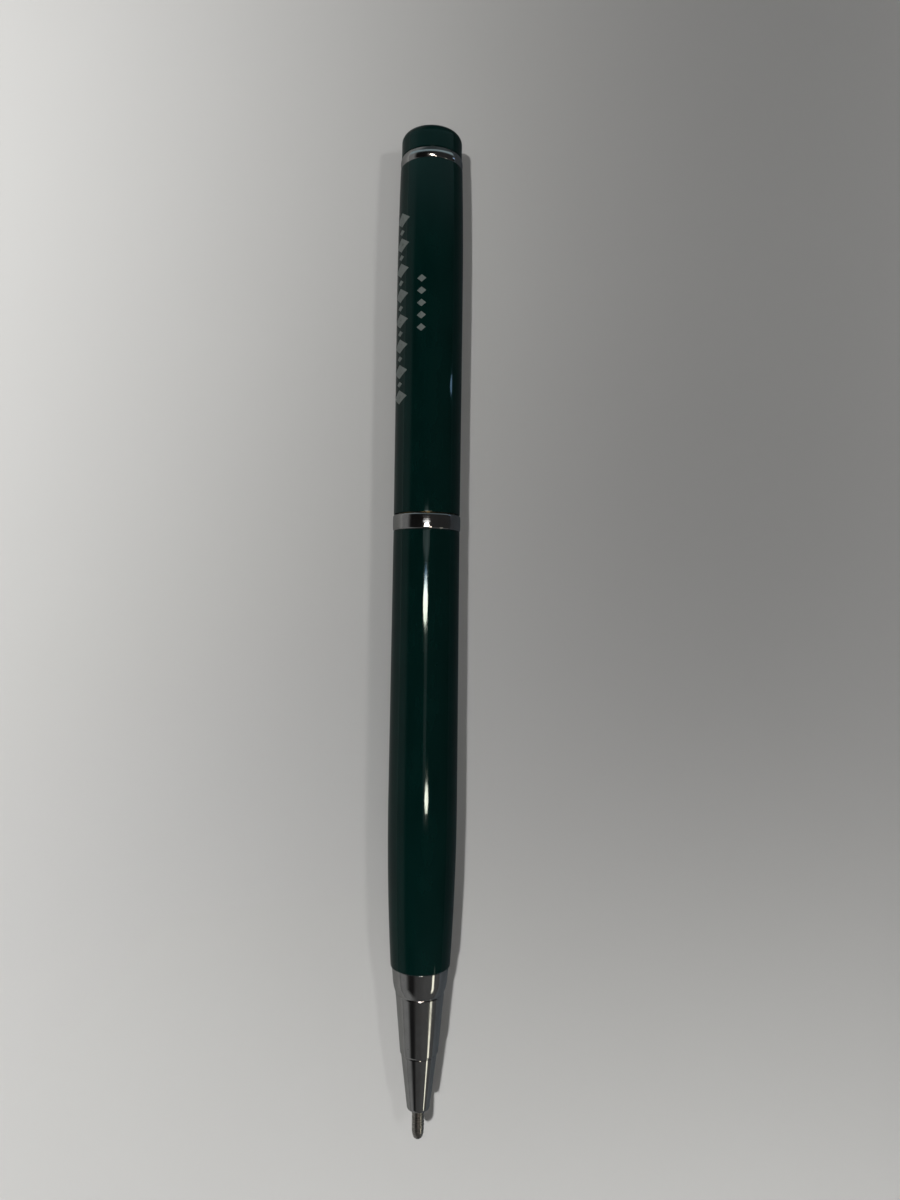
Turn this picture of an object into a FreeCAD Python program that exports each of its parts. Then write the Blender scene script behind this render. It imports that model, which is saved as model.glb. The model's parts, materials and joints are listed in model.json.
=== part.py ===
# A slim twist-action ballpoint pen, lying on its side with its writing tip extended.
#
# Millimetres. +X runs along the pen from the writing end to the cap, +Z is up, and the origin is under the middle of
# the pen, on the surface that it lies on. Almost every piece is turned, so it is described by stations, which are
# distances along the pen from the writing end, and by radii about the pen's axis.
#
# Turning the upper barrel anticlockwise, seen from the cap, turns the cam sleeve. Its helical slots then push the
# drive pins, and with them the refill, along the straight slots of the mechanism case into the nose.
import FreeCAD, Part
import math
import os

# Overall.
LENGTH = 135.0  # with the tip extended
WIDEST_RADIUS = 4.62  # of the lower barrel's swell, which the pen lies on
EDGE = 0.1  # broken edges of turned pieces
RUNNING_FIT = 0.05  # radial play of one piece turning or sliding in another
THREAD_PLAY = 0.05  # radial play between a screw and its nut

# The outside, from front to back.
NOSE_FRONT = 4.0
NOSE_FRONT_RADIUS = 1.53
NOSE_HOLE_RADIUS = 0.9
NOSE_ROUNDING = 0.42
FIRST_STEP = 11.4
FIRST_STEP_RADIUS = 2.38
SECOND_STEP = 19.4
SECOND_STEP_RADIUS = 3.23
NOSE_BACK_RADIUS = 3.8
STEP_HEIGHT = 0.16  # of both steps in the nose
BARREL_FRONT = 23.0
BARREL_FRONT_RADIUS = 3.97
SWELL = 44.0  # where the lower barrel is widest
RIM_RADIUS = 4.46  # of both barrels at the centre ring
RING_FRONT = 80.95
RING_BACK = 83.1
RING_RADIUS = 4.53
RING_CROWN = 0.02  # how much the centre ring bulges between its edges
TURNING_GAP = 0.08  # between the centre ring and the upper barrel, which turns
UPPER_TAPER = 112.0  # where the upper barrel stops being a plain cylinder
UPPER_BACK = 130.1
UPPER_BACK_RADIUS = 4.2
TOP_RING_BACK = 131.6
TOP_RING_RADIUS = 4.2
CAP_RADIUS = 4.08
CAP_SHOULDER = 133.7  # where the cap starts to round over
CAP_CROWN = 0.12  # how far the cap's end is domed
CAP_ROUNDING = LENGTH - CAP_CROWN - CAP_SHOULDER

# Barrels and the bushes in them.
BORE_RADIUS = 3.85
FRONT_BORE_RADIUS = 3.45
FRONT_BORE_BACK = 32.0
BUSH_FRONT = BARREL_FRONT + 0.2
BUSH_BACK = 31.0
NOSE_THREAD_RADIUS = 2.95
NOSE_THREAD_PITCH = 0.5
NOSE_THREAD_FRONT = 24.0
NOSE_THREAD_TURNS = 10
NOSE_BORE_RADIUS = 1.6
NOSE_BORE_FRONT = 8.6
CONNECTOR_FRONT = 71.0
CONNECTOR_BACK = 89.5
CONNECTOR_LIP = 1.0
TOP_BUSH_FRONT = 124.5

# Cap stud.
STUD_RADIUS = 2.0
STUD_PITCH = 0.7
STUD_FRONT = 124.2
STUD_TURNS = 13
STUD_TURNS_TO_BUSH = 1  # from the stud's front to the first turn inside the bush
BUSH_TURNS = 7
STUD_TURNS_TO_CAP = 11  # from the stud's front to the first turn inside the cap

# Twist mechanism.
TRAVEL = 5.5  # of the refill
HALF_TURN = 180  # degrees of twist for that travel
PIN_STATION = 100.0  # of the drive pins, with the tip extended
PIN_RADIUS = 0.5
PIN_LENGTH = 1.35
PIN_INNER_END = 1.6  # from the pen's axis
CASE_BACK = 112.0
CASE_RADIUS = 3.1
CAM_FRONT = 96.0
CAM_SHOULDER = 109.8
CAM_RADIUS = 2.6
CAM_BORE_RADIUS = 2.1
CAM_BORE_BACK = 108.9
NECK_RADIUS = 2.05
NECK_BORE_RADIUS = 1.7
NECK_BACK = 123.0
SLOT_LENGTHWISE_WIDTH = 1.45  # of a helical slot, measured along the pen
WASHER_THICKNESS = 0.25
HEAD_FRONT = 112.25
HEAD_BACK = 123.4
HEAD_RADIUS = 3.1
HEAD_FLUTES = 16
LINER_FRONT = 112.5
LINER_BACK = 122.8
LINER_SLIT = 0.8
CASE_SMALL_BORE = 2.2

# Refill.
BALL_RADIUS = 0.5
SOCKET_PLAY = 0.015
SOCKET_RIM = 0.32
TIP_RADIUS = 0.81
TIP_SHOULDER = 9.6
TIP_BACK = 14.0
TUBE_FRONT = 10.0
TUBE_BACK = 97.0
TUBE_RADIUS = 1.4
TUBE_BORE_RADIUS = 1.05
CHANNEL_RADIUS = 0.3
INK_BACK = 78.0
TAIL_FRONT = 94.0
TAIL_THREAD_RADIUS = 1.5
TAIL_THREAD_FRONT = 97.7
TAIL_THREAD_PITCH = 0.5
TAIL_THREAD_TURNS = 10
CARRIER_FRONT = 97.2
CARRIER_BACK = 103.2
CARRIER_RADIUS = CAM_BORE_RADIUS - RUNNING_FIT
KNOB_RADIUS = 1.2  # goes through the carrier's thread
KNOB_BACK = 107.0
KNOB_FLUTES = 14
VENT_RADIUS = 0.3

AXIS_HEIGHT = WIDEST_RADIUS
ALONG = FreeCAD.Vector(1, 0, 0)
ORIGIN_OF_STATIONS = FreeCAD.Vector(-LENGTH / 2, 0, AXIS_HEIGHT)


def place(station, radius):
    """The point above the pen's axis at a station and a radius."""
    return ORIGIN_OF_STATIONS + FreeCAD.Vector(station, 0, radius)


def turned(*outline):
    """The solid turned from a closed outline of (station, radius) corners. A pair of corners in place of one is the
    middle and the end of an arc."""
    edges = []
    here = outline[0]
    for step in outline[1:] + outline[:1]:
        if isinstance(step[0], tuple):
            middle, end = step
            edges.append(Part.Arc(place(*here), place(*middle), place(*end)).toShape())
        else:
            end = step
            edges.append(Part.LineSegment(place(*here), place(*end)).toShape())
        here = end
    return Part.Face(Part.Wire(edges)).revolve(ORIGIN_OF_STATIONS, ALONG, 360)


def long_arc_radius(station, level, low):
    """Radius at a station of the long arc that leaves the corner `level` parallel to the axis and ends at `low`."""
    run = low[0] - level[0]
    drop = level[1] - low[1]
    arc_radius = (run**2 + drop**2) / (2 * drop)
    return level[1] - arc_radius + math.sqrt(arc_radius**2 - (station - level[0]) ** 2)


def long_arc_middle(level, low):
    station = (level[0] + low[0]) / 2
    return (station, long_arc_radius(station, level, low))


def dome(edge, tip_station):
    """The rest of the outline from `edge` to the axis, over a dome: a circle centred on the axis."""
    rise = tip_station - edge[0]
    dome_radius = (edge[1] ** 2 + rise**2) / (2 * rise)
    half = edge[1] / 2
    middle = tip_station - dome_radius + math.sqrt(dome_radius**2 - half**2)
    return (middle, half), (tip_station, 0)


def rounded(before, corner, after):
    """The outline from `before` to `after` round a square corner: a quarter of a circle."""
    middle = tuple(
        (b + a - c) + (2 * c - b - a) / math.sqrt(2) for b, c, a in zip(before, corner, after)
    )
    return before, (middle, after)


def thread(front, turns, pitch, root, crest):
    """Corners of a screw's ridges, from front to back."""
    corners = []
    for turn in range(turns):
        corners += [(front + turn * pitch, root), (front + (turn + 0.5) * pitch, crest)]
    return corners + [(front + turns * pitch, root)]


def nut_thread(front, turns, pitch, root, crest):
    """Corners of the thread that such a screw turns in, from back to front."""
    corners = thread(front, turns, pitch, root + THREAD_PLAY, crest + THREAD_PLAY)
    return corners[::-1]


def thread_root(crest, pitch):
    return crest - pitch / 2


def radial_pin(station, angle, radius, inner, outer):
    """A round pin that points straight out from the pen's axis, `angle` degrees from straight up."""
    pin = Part.makeCylinder(radius, outer - inner, place(station, inner), FreeCAD.Vector(0, 0, 1))
    return pin.rotate(ORIGIN_OF_STATIONS, ALONG, angle)


def around(shape, count):
    """`count` copies of a shape, evenly spaced round the pen's axis."""
    return [shape.copy().rotate(ORIGIN_OF_STATIONS, ALONG, 360 * i / count) for i in range(count)]


def flute(radius, depth, front, back):
    """A round-bottomed groove along the pen, on the top of a turned surface."""
    return Part.makeCylinder(depth, back - front, place(front, radius), ALONG)


# The outside of the pen.


def nose_cone():
    root = thread_root(NOSE_THREAD_RADIUS, NOSE_THREAD_PITCH)
    first_rise = FIRST_STEP_RADIUS + STEP_HEIGHT
    second_rise = SECOND_STEP_RADIUS + STEP_HEIGHT
    shoulder = (SECOND_STEP + 1.5, second_rise + 0.21)
    return turned(
        (NOSE_FRONT, NOSE_HOLE_RADIUS),
        *rounded(
            (NOSE_FRONT, NOSE_FRONT_RADIUS - NOSE_ROUNDING),
            (NOSE_FRONT, NOSE_FRONT_RADIUS),
            (NOSE_FRONT + NOSE_ROUNDING, NOSE_FRONT_RADIUS),
        ),
        (FIRST_STEP - EDGE, FIRST_STEP_RADIUS),
        (FIRST_STEP, FIRST_STEP_RADIUS - EDGE / 2),
        (FIRST_STEP + EDGE, FIRST_STEP_RADIUS + EDGE / 2),
        ((FIRST_STEP + 0.14, first_rise - 0.06), (FIRST_STEP + 0.3, first_rise)),
        (SECOND_STEP - EDGE, SECOND_STEP_RADIUS),
        (SECOND_STEP, SECOND_STEP_RADIUS - EDGE),
        (SECOND_STEP + EDGE, SECOND_STEP_RADIUS),
        ((SECOND_STEP + 0.55, second_rise), shoulder),
        (BARREL_FRONT - EDGE, NOSE_BACK_RADIUS),
        (BARREL_FRONT, NOSE_BACK_RADIUS - EDGE),
        (BARREL_FRONT, root),
        *thread(NOSE_THREAD_FRONT, NOSE_THREAD_TURNS, NOSE_THREAD_PITCH, root, NOSE_THREAD_RADIUS),
        (BUSH_BACK - 1.5, root - EDGE),
        (BUSH_BACK - 1.5, NOSE_BORE_RADIUS),
        (NOSE_BORE_FRONT, NOSE_BORE_RADIUS),
        (NOSE_BORE_FRONT - 0.6, NOSE_HOLE_RADIUS),
    )


def nose_thread_bush():
    root = thread_root(NOSE_THREAD_RADIUS, NOSE_THREAD_PITCH)
    front = NOSE_THREAD_FRONT - NOSE_THREAD_PITCH
    return turned(
        (BUSH_FRONT, NOSE_THREAD_RADIUS + THREAD_PLAY),
        (BUSH_FRONT, FRONT_BORE_RADIUS - EDGE),
        (BUSH_FRONT + EDGE, FRONT_BORE_RADIUS),
        (BUSH_BACK - EDGE, FRONT_BORE_RADIUS),
        (BUSH_BACK, FRONT_BORE_RADIUS - EDGE),
        (BUSH_BACK, NOSE_THREAD_RADIUS),
        *nut_thread(front, NOSE_THREAD_TURNS + 4, NOSE_THREAD_PITCH, root, NOSE_THREAD_RADIUS),
    )


def lower_barrel():
    front = (BARREL_FRONT + EDGE, BARREL_FRONT_RADIUS)
    widest = (SWELL, WIDEST_RADIUS)
    return turned(
        (BARREL_FRONT, BARREL_FRONT_RADIUS - EDGE),
        front,
        (long_arc_middle(widest, front), widest),
        (RING_FRONT - EDGE, RIM_RADIUS),
        (RING_FRONT, RIM_RADIUS - EDGE),
        (RING_FRONT, BORE_RADIUS),
        (FRONT_BORE_BACK + 1, BORE_RADIUS),
        (FRONT_BORE_BACK, FRONT_BORE_RADIUS),
        (BARREL_FRONT, FRONT_BORE_RADIUS),
    )


def centre_ring():
    rounding = 2.5 * EDGE
    crown = ((RING_FRONT + RING_BACK) / 2, RING_RADIUS + RING_CROWN)
    front_edge = rounded(
        (RING_FRONT, RING_RADIUS - rounding),
        (RING_FRONT, RING_RADIUS),
        (RING_FRONT + rounding, RING_RADIUS),
    )
    back_start, back_edge = rounded(
        (RING_BACK - rounding, RING_RADIUS),
        (RING_BACK, RING_RADIUS),
        (RING_BACK, RING_RADIUS - rounding),
    )
    return turned(
        (RING_FRONT, BORE_RADIUS),
        *front_edge,
        (crown, back_start),
        back_edge,
        (RING_BACK, BORE_RADIUS),
    )


def upper_barrel():
    front = RING_BACK + TURNING_GAP
    level = (UPPER_TAPER, RIM_RADIUS)
    back = (UPPER_BACK - EDGE, UPPER_BACK_RADIUS)
    return turned(
        (front, RIM_RADIUS - EDGE),
        (front + EDGE, RIM_RADIUS),
        level,
        (long_arc_middle(level, back), back),
        (UPPER_BACK, UPPER_BACK_RADIUS - EDGE),
        (UPPER_BACK, BORE_RADIUS),
        (front, BORE_RADIUS),
    )


def top_ring():
    flank = TOP_RING_RADIUS - 1.5 * EDGE
    return turned(
        (UPPER_BACK, STUD_RADIUS + RUNNING_FIT),
        (UPPER_BACK, flank),
        (((UPPER_BACK + TOP_RING_BACK) / 2, TOP_RING_RADIUS), (TOP_RING_BACK, flank)),
        (TOP_RING_BACK, STUD_RADIUS + RUNNING_FIT),
    )


def end_cap():
    root = thread_root(STUD_RADIUS, STUD_PITCH)
    hole_front = STUD_FRONT + STUD_TURNS_TO_CAP * STUD_PITCH
    turns = STUD_TURNS - STUD_TURNS_TO_CAP
    crown_edge = (LENGTH - CAP_CROWN, CAP_RADIUS - CAP_ROUNDING)
    return turned(
        (TOP_RING_BACK, STUD_RADIUS + THREAD_PLAY),
        (TOP_RING_BACK, CAP_RADIUS - EDGE),
        (TOP_RING_BACK + EDGE, CAP_RADIUS),
        *rounded((CAP_SHOULDER, CAP_RADIUS), (crown_edge[0], CAP_RADIUS), crown_edge),
        dome(crown_edge, LENGTH),
        (hole_front + turns * STUD_PITCH + EDGE, 0),
        (hole_front + turns * STUD_PITCH + EDGE, root + THREAD_PLAY),
        *nut_thread(hole_front, turns, STUD_PITCH, root, STUD_RADIUS),
    )


# Inside the upper barrel.


def top_bush():
    root = thread_root(STUD_RADIUS, STUD_PITCH)
    thread_front = STUD_FRONT + STUD_TURNS_TO_BUSH * STUD_PITCH
    return turned(
        (TOP_BUSH_FRONT, STUD_RADIUS + THREAD_PLAY),
        (TOP_BUSH_FRONT, BORE_RADIUS - 3 * EDGE),
        (TOP_BUSH_FRONT + 3 * EDGE, BORE_RADIUS),
        (UPPER_BACK, BORE_RADIUS),
        (UPPER_BACK, STUD_RADIUS + THREAD_PLAY),
        *nut_thread(thread_front, BUSH_TURNS, STUD_PITCH, root, STUD_RADIUS),
    )


def cap_stud():
    root = thread_root(STUD_RADIUS, STUD_PITCH)
    back = STUD_FRONT + STUD_TURNS * STUD_PITCH
    screw = turned(
        (STUD_FRONT, 0),
        *thread(STUD_FRONT, STUD_TURNS, STUD_PITCH, root, STUD_RADIUS),
        (back, 0),
    )
    driver_slot = Part.makeBox(0.7, 2 * STUD_RADIUS, 0.6)
    driver_slot.translate(place(STUD_FRONT, -0.3) - FreeCAD.Vector(0, STUD_RADIUS, 0))
    return screw.cut(driver_slot)


def drive_head():
    head = turned(
        (HEAD_FRONT, NECK_RADIUS),
        (HEAD_FRONT, HEAD_RADIUS - 2 * EDGE),
        (HEAD_FRONT + 2 * EDGE, HEAD_RADIUS),
        (HEAD_BACK - 4 * EDGE, HEAD_RADIUS),
        (HEAD_BACK, HEAD_RADIUS - 4 * EDGE),
        (HEAD_BACK, NECK_BORE_RADIUS),
        (NECK_BACK, NECK_BORE_RADIUS),
        (NECK_BACK, NECK_RADIUS),
    )
    groove = flute(HEAD_RADIUS + EDGE, 2 * EDGE, HEAD_FRONT - 1, HEAD_BACK + 1)
    return head.cut(around(groove, HEAD_FLUTES))


def friction_liner():
    sleeve = turned(
        (LINER_FRONT, HEAD_RADIUS),
        (LINER_FRONT, BORE_RADIUS - 2 * EDGE),
        (LINER_FRONT + 2 * EDGE, BORE_RADIUS),
        (LINER_BACK - 2 * EDGE, BORE_RADIUS),
        (LINER_BACK, BORE_RADIUS - 2 * EDGE),
        (LINER_BACK, HEAD_RADIUS),
    )
    slit = Part.makeBox(LINER_BACK - LINER_FRONT, LINER_SLIT, BORE_RADIUS)
    slit.translate(place(LINER_FRONT, 0) - FreeCAD.Vector(0, LINER_SLIT / 2, 0))
    return sleeve.cut(slit)


def helical_slot():
    """What a drive pin sweeps out in the cam sleeve as the sleeve turns half a turn. It is made along +Z and then
    laid along the pen."""
    inner, outer = CAM_BORE_RADIUS - 0.3, CAM_RADIUS + 0.3
    half = SLOT_LENGTHWISE_WIDTH / 2
    corners = [(inner, 0, -half), (outer, 0, -half), (outer, 0, half), (inner, 0, half), (inner, 0, -half)]
    section = Part.makePolygon([FreeCAD.Vector(*corner) for corner in corners])
    lead = TRAVEL * 360 / HALF_TURN
    spine = Part.Wire(Part.makeHelix(lead, TRAVEL, (inner + outer) / 2))
    sweep = spine.makePipeShell([section], True, True)
    left_handed = sweep.mirror(FreeCAD.Vector(0, 0, 0), FreeCAD.Vector(0, 1, 0))
    left_handed.rotate(FreeCAD.Vector(0, 0, 0), FreeCAD.Vector(0, 1, 0), 90)
    left_handed.translate(place(PIN_STATION, 0))
    pin_seat = PIN_RADIUS + RUNNING_FIT
    start = radial_pin(PIN_STATION, HALF_TURN, pin_seat, inner, outer)
    end = radial_pin(PIN_STATION + TRAVEL, 0, pin_seat, inner, outer)
    return left_handed.fuse([start, end])


def cam_sleeve():
    sleeve = turned(
        (CAM_FRONT, CAM_BORE_RADIUS),
        (CAM_FRONT, CAM_RADIUS - RUNNING_FIT),
        (CAM_SHOULDER, CAM_RADIUS - RUNNING_FIT),
        (CAM_SHOULDER, NECK_RADIUS),
        (NECK_BACK, NECK_RADIUS),
        (NECK_BACK, NECK_BORE_RADIUS),
        (CAM_BORE_BACK, NECK_BORE_RADIUS),
        (CAM_BORE_BACK, CAM_BORE_RADIUS),
    )
    return sleeve.cut(around(helical_slot(), 2))


def friction_washer():
    front = CAM_SHOULDER
    return turned(
        (front, NECK_RADIUS + RUNNING_FIT),
        (front, CAM_RADIUS - RUNNING_FIT),
        (front + WASHER_THICKNESS, CAM_RADIUS - RUNNING_FIT),
        (front + WASHER_THICKNESS, NECK_RADIUS + RUNNING_FIT),
    )


# Inside the lower barrel.


def barrel_connector():
    spigot = BORE_RADIUS - RUNNING_FIT
    case_front = CONNECTOR_FRONT + CONNECTOR_LIP
    return turned(
        (CONNECTOR_FRONT, CASE_SMALL_BORE),
        (CONNECTOR_FRONT, BORE_RADIUS - 3 * EDGE),
        (CONNECTOR_FRONT + 3 * EDGE, BORE_RADIUS),
        (RING_BACK, BORE_RADIUS),
        (RING_BACK, spigot),
        (CONNECTOR_BACK - 3 * EDGE, spigot),
        (CONNECTOR_BACK, spigot - 3 * EDGE),
        (CONNECTOR_BACK, CASE_RADIUS),
        (case_front, CASE_RADIUS),
        (case_front, CASE_SMALL_BORE),
    )


def mechanism_case():
    front = CONNECTOR_FRONT + CONNECTOR_LIP
    cam_seat = CAM_FRONT - RUNNING_FIT
    tube = turned(
        (front, CASE_SMALL_BORE),
        (front, CASE_RADIUS),
        (CASE_BACK - EDGE, CASE_RADIUS),
        (CASE_BACK, CASE_RADIUS - EDGE),
        (CASE_BACK, CAM_RADIUS),
        (cam_seat, CAM_RADIUS),
        (cam_seat, CASE_SMALL_BORE),
    )
    seat = PIN_RADIUS + RUNNING_FIT
    ends = [
        radial_pin(station, 0, seat, -CASE_RADIUS - 1, CASE_RADIUS + 1)
        for station in (PIN_STATION, PIN_STATION + TRAVEL)
    ]
    middle = Part.makeBox(TRAVEL, 2 * seat, 2 * CASE_RADIUS + 2)
    middle.translate(place(PIN_STATION, -CASE_RADIUS - 1) - FreeCAD.Vector(0, seat, 0))
    return tube.cut([*ends, middle])


def retaining_collar():
    front = CAM_SHOULDER + WASHER_THICKNESS + RUNNING_FIT
    return turned(
        (front, NECK_RADIUS + RUNNING_FIT),
        (front, CAM_RADIUS),
        (CASE_BACK, CAM_RADIUS),
        (CASE_BACK, NECK_RADIUS + RUNNING_FIT),
    )


# The refill and what moves with it.


def writing_ball():
    return Part.makeSphere(BALL_RADIUS, place(BALL_RADIUS, 0))


def refill_tip():
    socket_radius = BALL_RADIUS + SOCKET_PLAY
    rim_radius = math.sqrt(socket_radius**2 - (BALL_RADIUS - SOCKET_RIM) ** 2)
    lip = rim_radius + 0.09
    body = turned(
        (SOCKET_RIM, 0),
        (SOCKET_RIM, lip),
        ((0.75, 0.72), (1.4, TIP_RADIUS - 0.02)),
        (1.7, TIP_RADIUS),
        (TIP_SHOULDER, TIP_RADIUS),
        (TIP_SHOULDER + EDGE, TUBE_RADIUS),
        (TUBE_FRONT, TUBE_RADIUS),
        (TUBE_FRONT, TUBE_BORE_RADIUS),
        (TIP_BACK, TUBE_BORE_RADIUS),
        (TIP_BACK, CHANNEL_RADIUS + 3 * EDGE),
        (TIP_BACK - 3, CHANNEL_RADIUS),
        (2 * BALL_RADIUS, CHANNEL_RADIUS),
        (2 * BALL_RADIUS, 0),
    )
    return body.cut(Part.makeSphere(socket_radius, place(BALL_RADIUS, 0)))


def ink_column():
    play = 0.02
    front = 2 * BALL_RADIUS + 2 * play
    return turned(
        (front, 0),
        (front, CHANNEL_RADIUS - play),
        (TIP_BACK - 3, CHANNEL_RADIUS - play),
        (TIP_BACK + play, CHANNEL_RADIUS + 3 * EDGE - play),
        (TIP_BACK + play, TUBE_BORE_RADIUS - play),
        (INK_BACK, TUBE_BORE_RADIUS - play),
        (INK_BACK, 0),
    )


def refill_tube():
    return turned(
        (TUBE_FRONT, TUBE_BORE_RADIUS),
        (TUBE_FRONT, TUBE_RADIUS),
        (TUBE_BACK, TUBE_RADIUS),
        (TUBE_BACK, TUBE_BORE_RADIUS),
    )


def refill_tail():
    root = thread_root(TAIL_THREAD_RADIUS, TAIL_THREAD_PITCH)
    plug = turned(
        (TAIL_FRONT, VENT_RADIUS),
        (TAIL_FRONT, TUBE_BORE_RADIUS),
        (TUBE_BACK, TUBE_BORE_RADIUS),
        (TUBE_BACK, TUBE_RADIUS),
        (TUBE_BACK + EDGE, root),
        *thread(TAIL_THREAD_FRONT, TAIL_THREAD_TURNS, TAIL_THREAD_PITCH, root, TAIL_THREAD_RADIUS),
        (CARRIER_BACK, root),
        (CARRIER_BACK, KNOB_RADIUS - EDGE),
        (CARRIER_BACK + EDGE, KNOB_RADIUS),
        (KNOB_BACK - 4 * EDGE, KNOB_RADIUS),
        (KNOB_BACK, KNOB_RADIUS - 4 * EDGE),
        (KNOB_BACK, VENT_RADIUS),
    )
    groove = flute(KNOB_RADIUS + EDGE / 2, 1.5 * EDGE, CARRIER_BACK - 1, KNOB_BACK + 1)
    coin_slot = Part.makeBox(1, 2 * KNOB_RADIUS, 0.6)
    coin_slot.translate(place(KNOB_BACK - 0.8, -0.3) - FreeCAD.Vector(0, KNOB_RADIUS, 0))
    return plug.cut([*around(groove, KNOB_FLUTES), coin_slot])


def refill_carrier():
    root = thread_root(TAIL_THREAD_RADIUS, TAIL_THREAD_PITCH)
    nut = turned(
        (CARRIER_FRONT, CARRIER_RADIUS - EDGE),
        (CARRIER_FRONT + EDGE, CARRIER_RADIUS),
        (CARRIER_BACK - EDGE, CARRIER_RADIUS),
        (CARRIER_BACK, CARRIER_RADIUS - EDGE),
        *nut_thread(CARRIER_FRONT, TAIL_THREAD_TURNS + 2, TAIL_THREAD_PITCH, root, TAIL_THREAD_RADIUS),
    )
    return nut.cut(around(radial_pin(PIN_STATION, 0, PIN_RADIUS, 0, CARRIER_RADIUS + 1), 2))


def drive_pin_top():
    return radial_pin(PIN_STATION, 0, PIN_RADIUS, PIN_INNER_END, PIN_INNER_END + PIN_LENGTH)


def drive_pin_bottom():
    return drive_pin_top().rotate(ORIGIN_OF_STATIONS, ALONG, HALF_TURN)


PIECES = (
    writing_ball,
    refill_tip,
    refill_tube,
    ink_column,
    refill_tail,
    refill_carrier,
    drive_pin_top,
    drive_pin_bottom,
    nose_cone,
    nose_thread_bush,
    lower_barrel,
    barrel_connector,
    centre_ring,
    mechanism_case,
    retaining_collar,
    friction_washer,
    cam_sleeve,
    drive_head,
    friction_liner,
    upper_barrel,
    top_bush,
    cap_stud,
    top_ring,
    end_cap,
)


def main():
    os.makedirs("parts", exist_ok=True)
    for piece in PIECES:
        shape = piece()
        name = piece.__name__
        box = shape.BoundBox
        print(
            f"{name:18} solids {len(shape.Solids)} valid {shape.isValid()} volume {shape.Volume:9.3f} "
            f"x {box.XMin:7.2f} {box.XMax:7.2f} z {box.ZMin:6.3f} {box.ZMax:6.3f}"
        )
        shape.exportStep(f"parts/{name}.step")


main()
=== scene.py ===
import json
import math

import bmesh
import bpy
from mathutils import Matrix, Vector


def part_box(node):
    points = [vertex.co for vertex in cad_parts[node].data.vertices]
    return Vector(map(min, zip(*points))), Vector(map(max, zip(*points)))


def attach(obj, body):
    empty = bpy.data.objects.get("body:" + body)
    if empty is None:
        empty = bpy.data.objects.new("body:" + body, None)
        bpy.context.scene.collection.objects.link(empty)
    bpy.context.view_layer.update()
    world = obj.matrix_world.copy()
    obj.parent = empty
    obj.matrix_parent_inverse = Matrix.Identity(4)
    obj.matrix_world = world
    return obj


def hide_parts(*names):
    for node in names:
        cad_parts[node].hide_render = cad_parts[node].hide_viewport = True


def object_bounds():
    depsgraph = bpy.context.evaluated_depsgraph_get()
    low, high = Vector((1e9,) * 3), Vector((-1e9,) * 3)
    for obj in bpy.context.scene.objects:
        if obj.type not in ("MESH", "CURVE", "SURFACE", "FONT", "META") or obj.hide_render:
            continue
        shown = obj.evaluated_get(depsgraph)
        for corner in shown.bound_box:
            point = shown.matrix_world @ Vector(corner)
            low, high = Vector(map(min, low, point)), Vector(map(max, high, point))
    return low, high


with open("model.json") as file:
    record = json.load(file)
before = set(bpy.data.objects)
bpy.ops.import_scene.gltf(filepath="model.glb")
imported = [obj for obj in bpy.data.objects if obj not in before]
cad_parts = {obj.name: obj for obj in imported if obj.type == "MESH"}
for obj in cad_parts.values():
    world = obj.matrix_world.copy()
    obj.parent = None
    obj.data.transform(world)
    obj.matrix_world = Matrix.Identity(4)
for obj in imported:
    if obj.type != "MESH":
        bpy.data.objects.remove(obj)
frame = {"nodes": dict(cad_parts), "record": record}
CAD_LOW, CAD_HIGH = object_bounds()
MM = 0.001
TIP_X = CAD_LOW.x
AXIS_HEIGHT = (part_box("lower_barrel")[0].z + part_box("lower_barrel")[1].z) / 2


def span(node):
    """(front station, back station, widest radius) of a turned CAD node, in millimetres."""
    low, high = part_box(node)
    return (low.x - TIP_X) / MM, (high.x - TIP_X) / MM, max(high.y - low.y, high.z - low.z) / 2 / MM


# Where the pieces meet, as the frame has them.
NOSE_FRONT, NOSE_THREAD_BACK, NOSE_BACK_RADIUS = span("nose_cone")
BARREL_FRONT, RING_FRONT, WIDEST_RADIUS = span("lower_barrel")
RING_BACK = span("centre_ring")[1]
UPPER_FRONT, UPPER_BACK, RIM_RADIUS = span("upper_barrel")
TOP_RING_BACK, TOP_RING_RADIUS = span("top_ring")[1:]
LENGTH, CAP_RADIUS = span("end_cap")[1:]
TIP_RIM, TIP_BACK, TUBE_RADIUS = span("refill_tip")
BALL_RADIUS = span("writing_ball")[2]
BORE_RADIUS = span("barrel_connector")[2]

# Details of the turned outlines.
EDGE = 0.1  # of most small chamfers and roundings
NOSE_FRONT_RADIUS = 1.53
NOSE_HOLE_RADIUS = 0.9
NOSE_ROUNDING = 0.42
FIRST_STEP = 11.4
FIRST_STEP_RADIUS = 2.38
SECOND_STEP = 19.4
SECOND_STEP_RADIUS = 3.23
STEP_HEIGHT = 0.16
FIRST_RISE = 0.3  # length of the rounded rise behind the first step
SECOND_RISE = 1.5  # and behind the second
SECOND_WIDENING = 0.21  # of the nose over the second rise, past the step's own height
NOSE_BORE_RADIUS = 1.6
NOSE_BORE_FRONT = 8.6
NOSE_BORE_TAPER = 0.6  # length of the cone between the nose's hole and its bore
NOSE_THREAD = (24.0, 10, 0.5, 2.7, 2.95)  # front, turns, pitch, root and crest
BARREL_FRONT_RADIUS = 3.97
FRONT_BORE_RADIUS = 3.45
FRONT_BORE_BACK = 32.0
FRONT_BORE_TAPER = 1.0  # length of the cone between the front bore and the main one
SWELL = 44.0
RING_RADIUS = 4.53
RING_CROWN = 0.02
UPPER_TAPER = 112.0
UPPER_BACK_RADIUS = 4.2
STUD_RADIUS = 2.0
CAP_SHOULDER = 133.7
CAP_CROWN = 0.12
CAP_HOLE_BACK = 133.4
TIP_RADIUS = 0.81
TIP_STRAIGHT = 1.7  # where the point stops narrowing, going back
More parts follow.
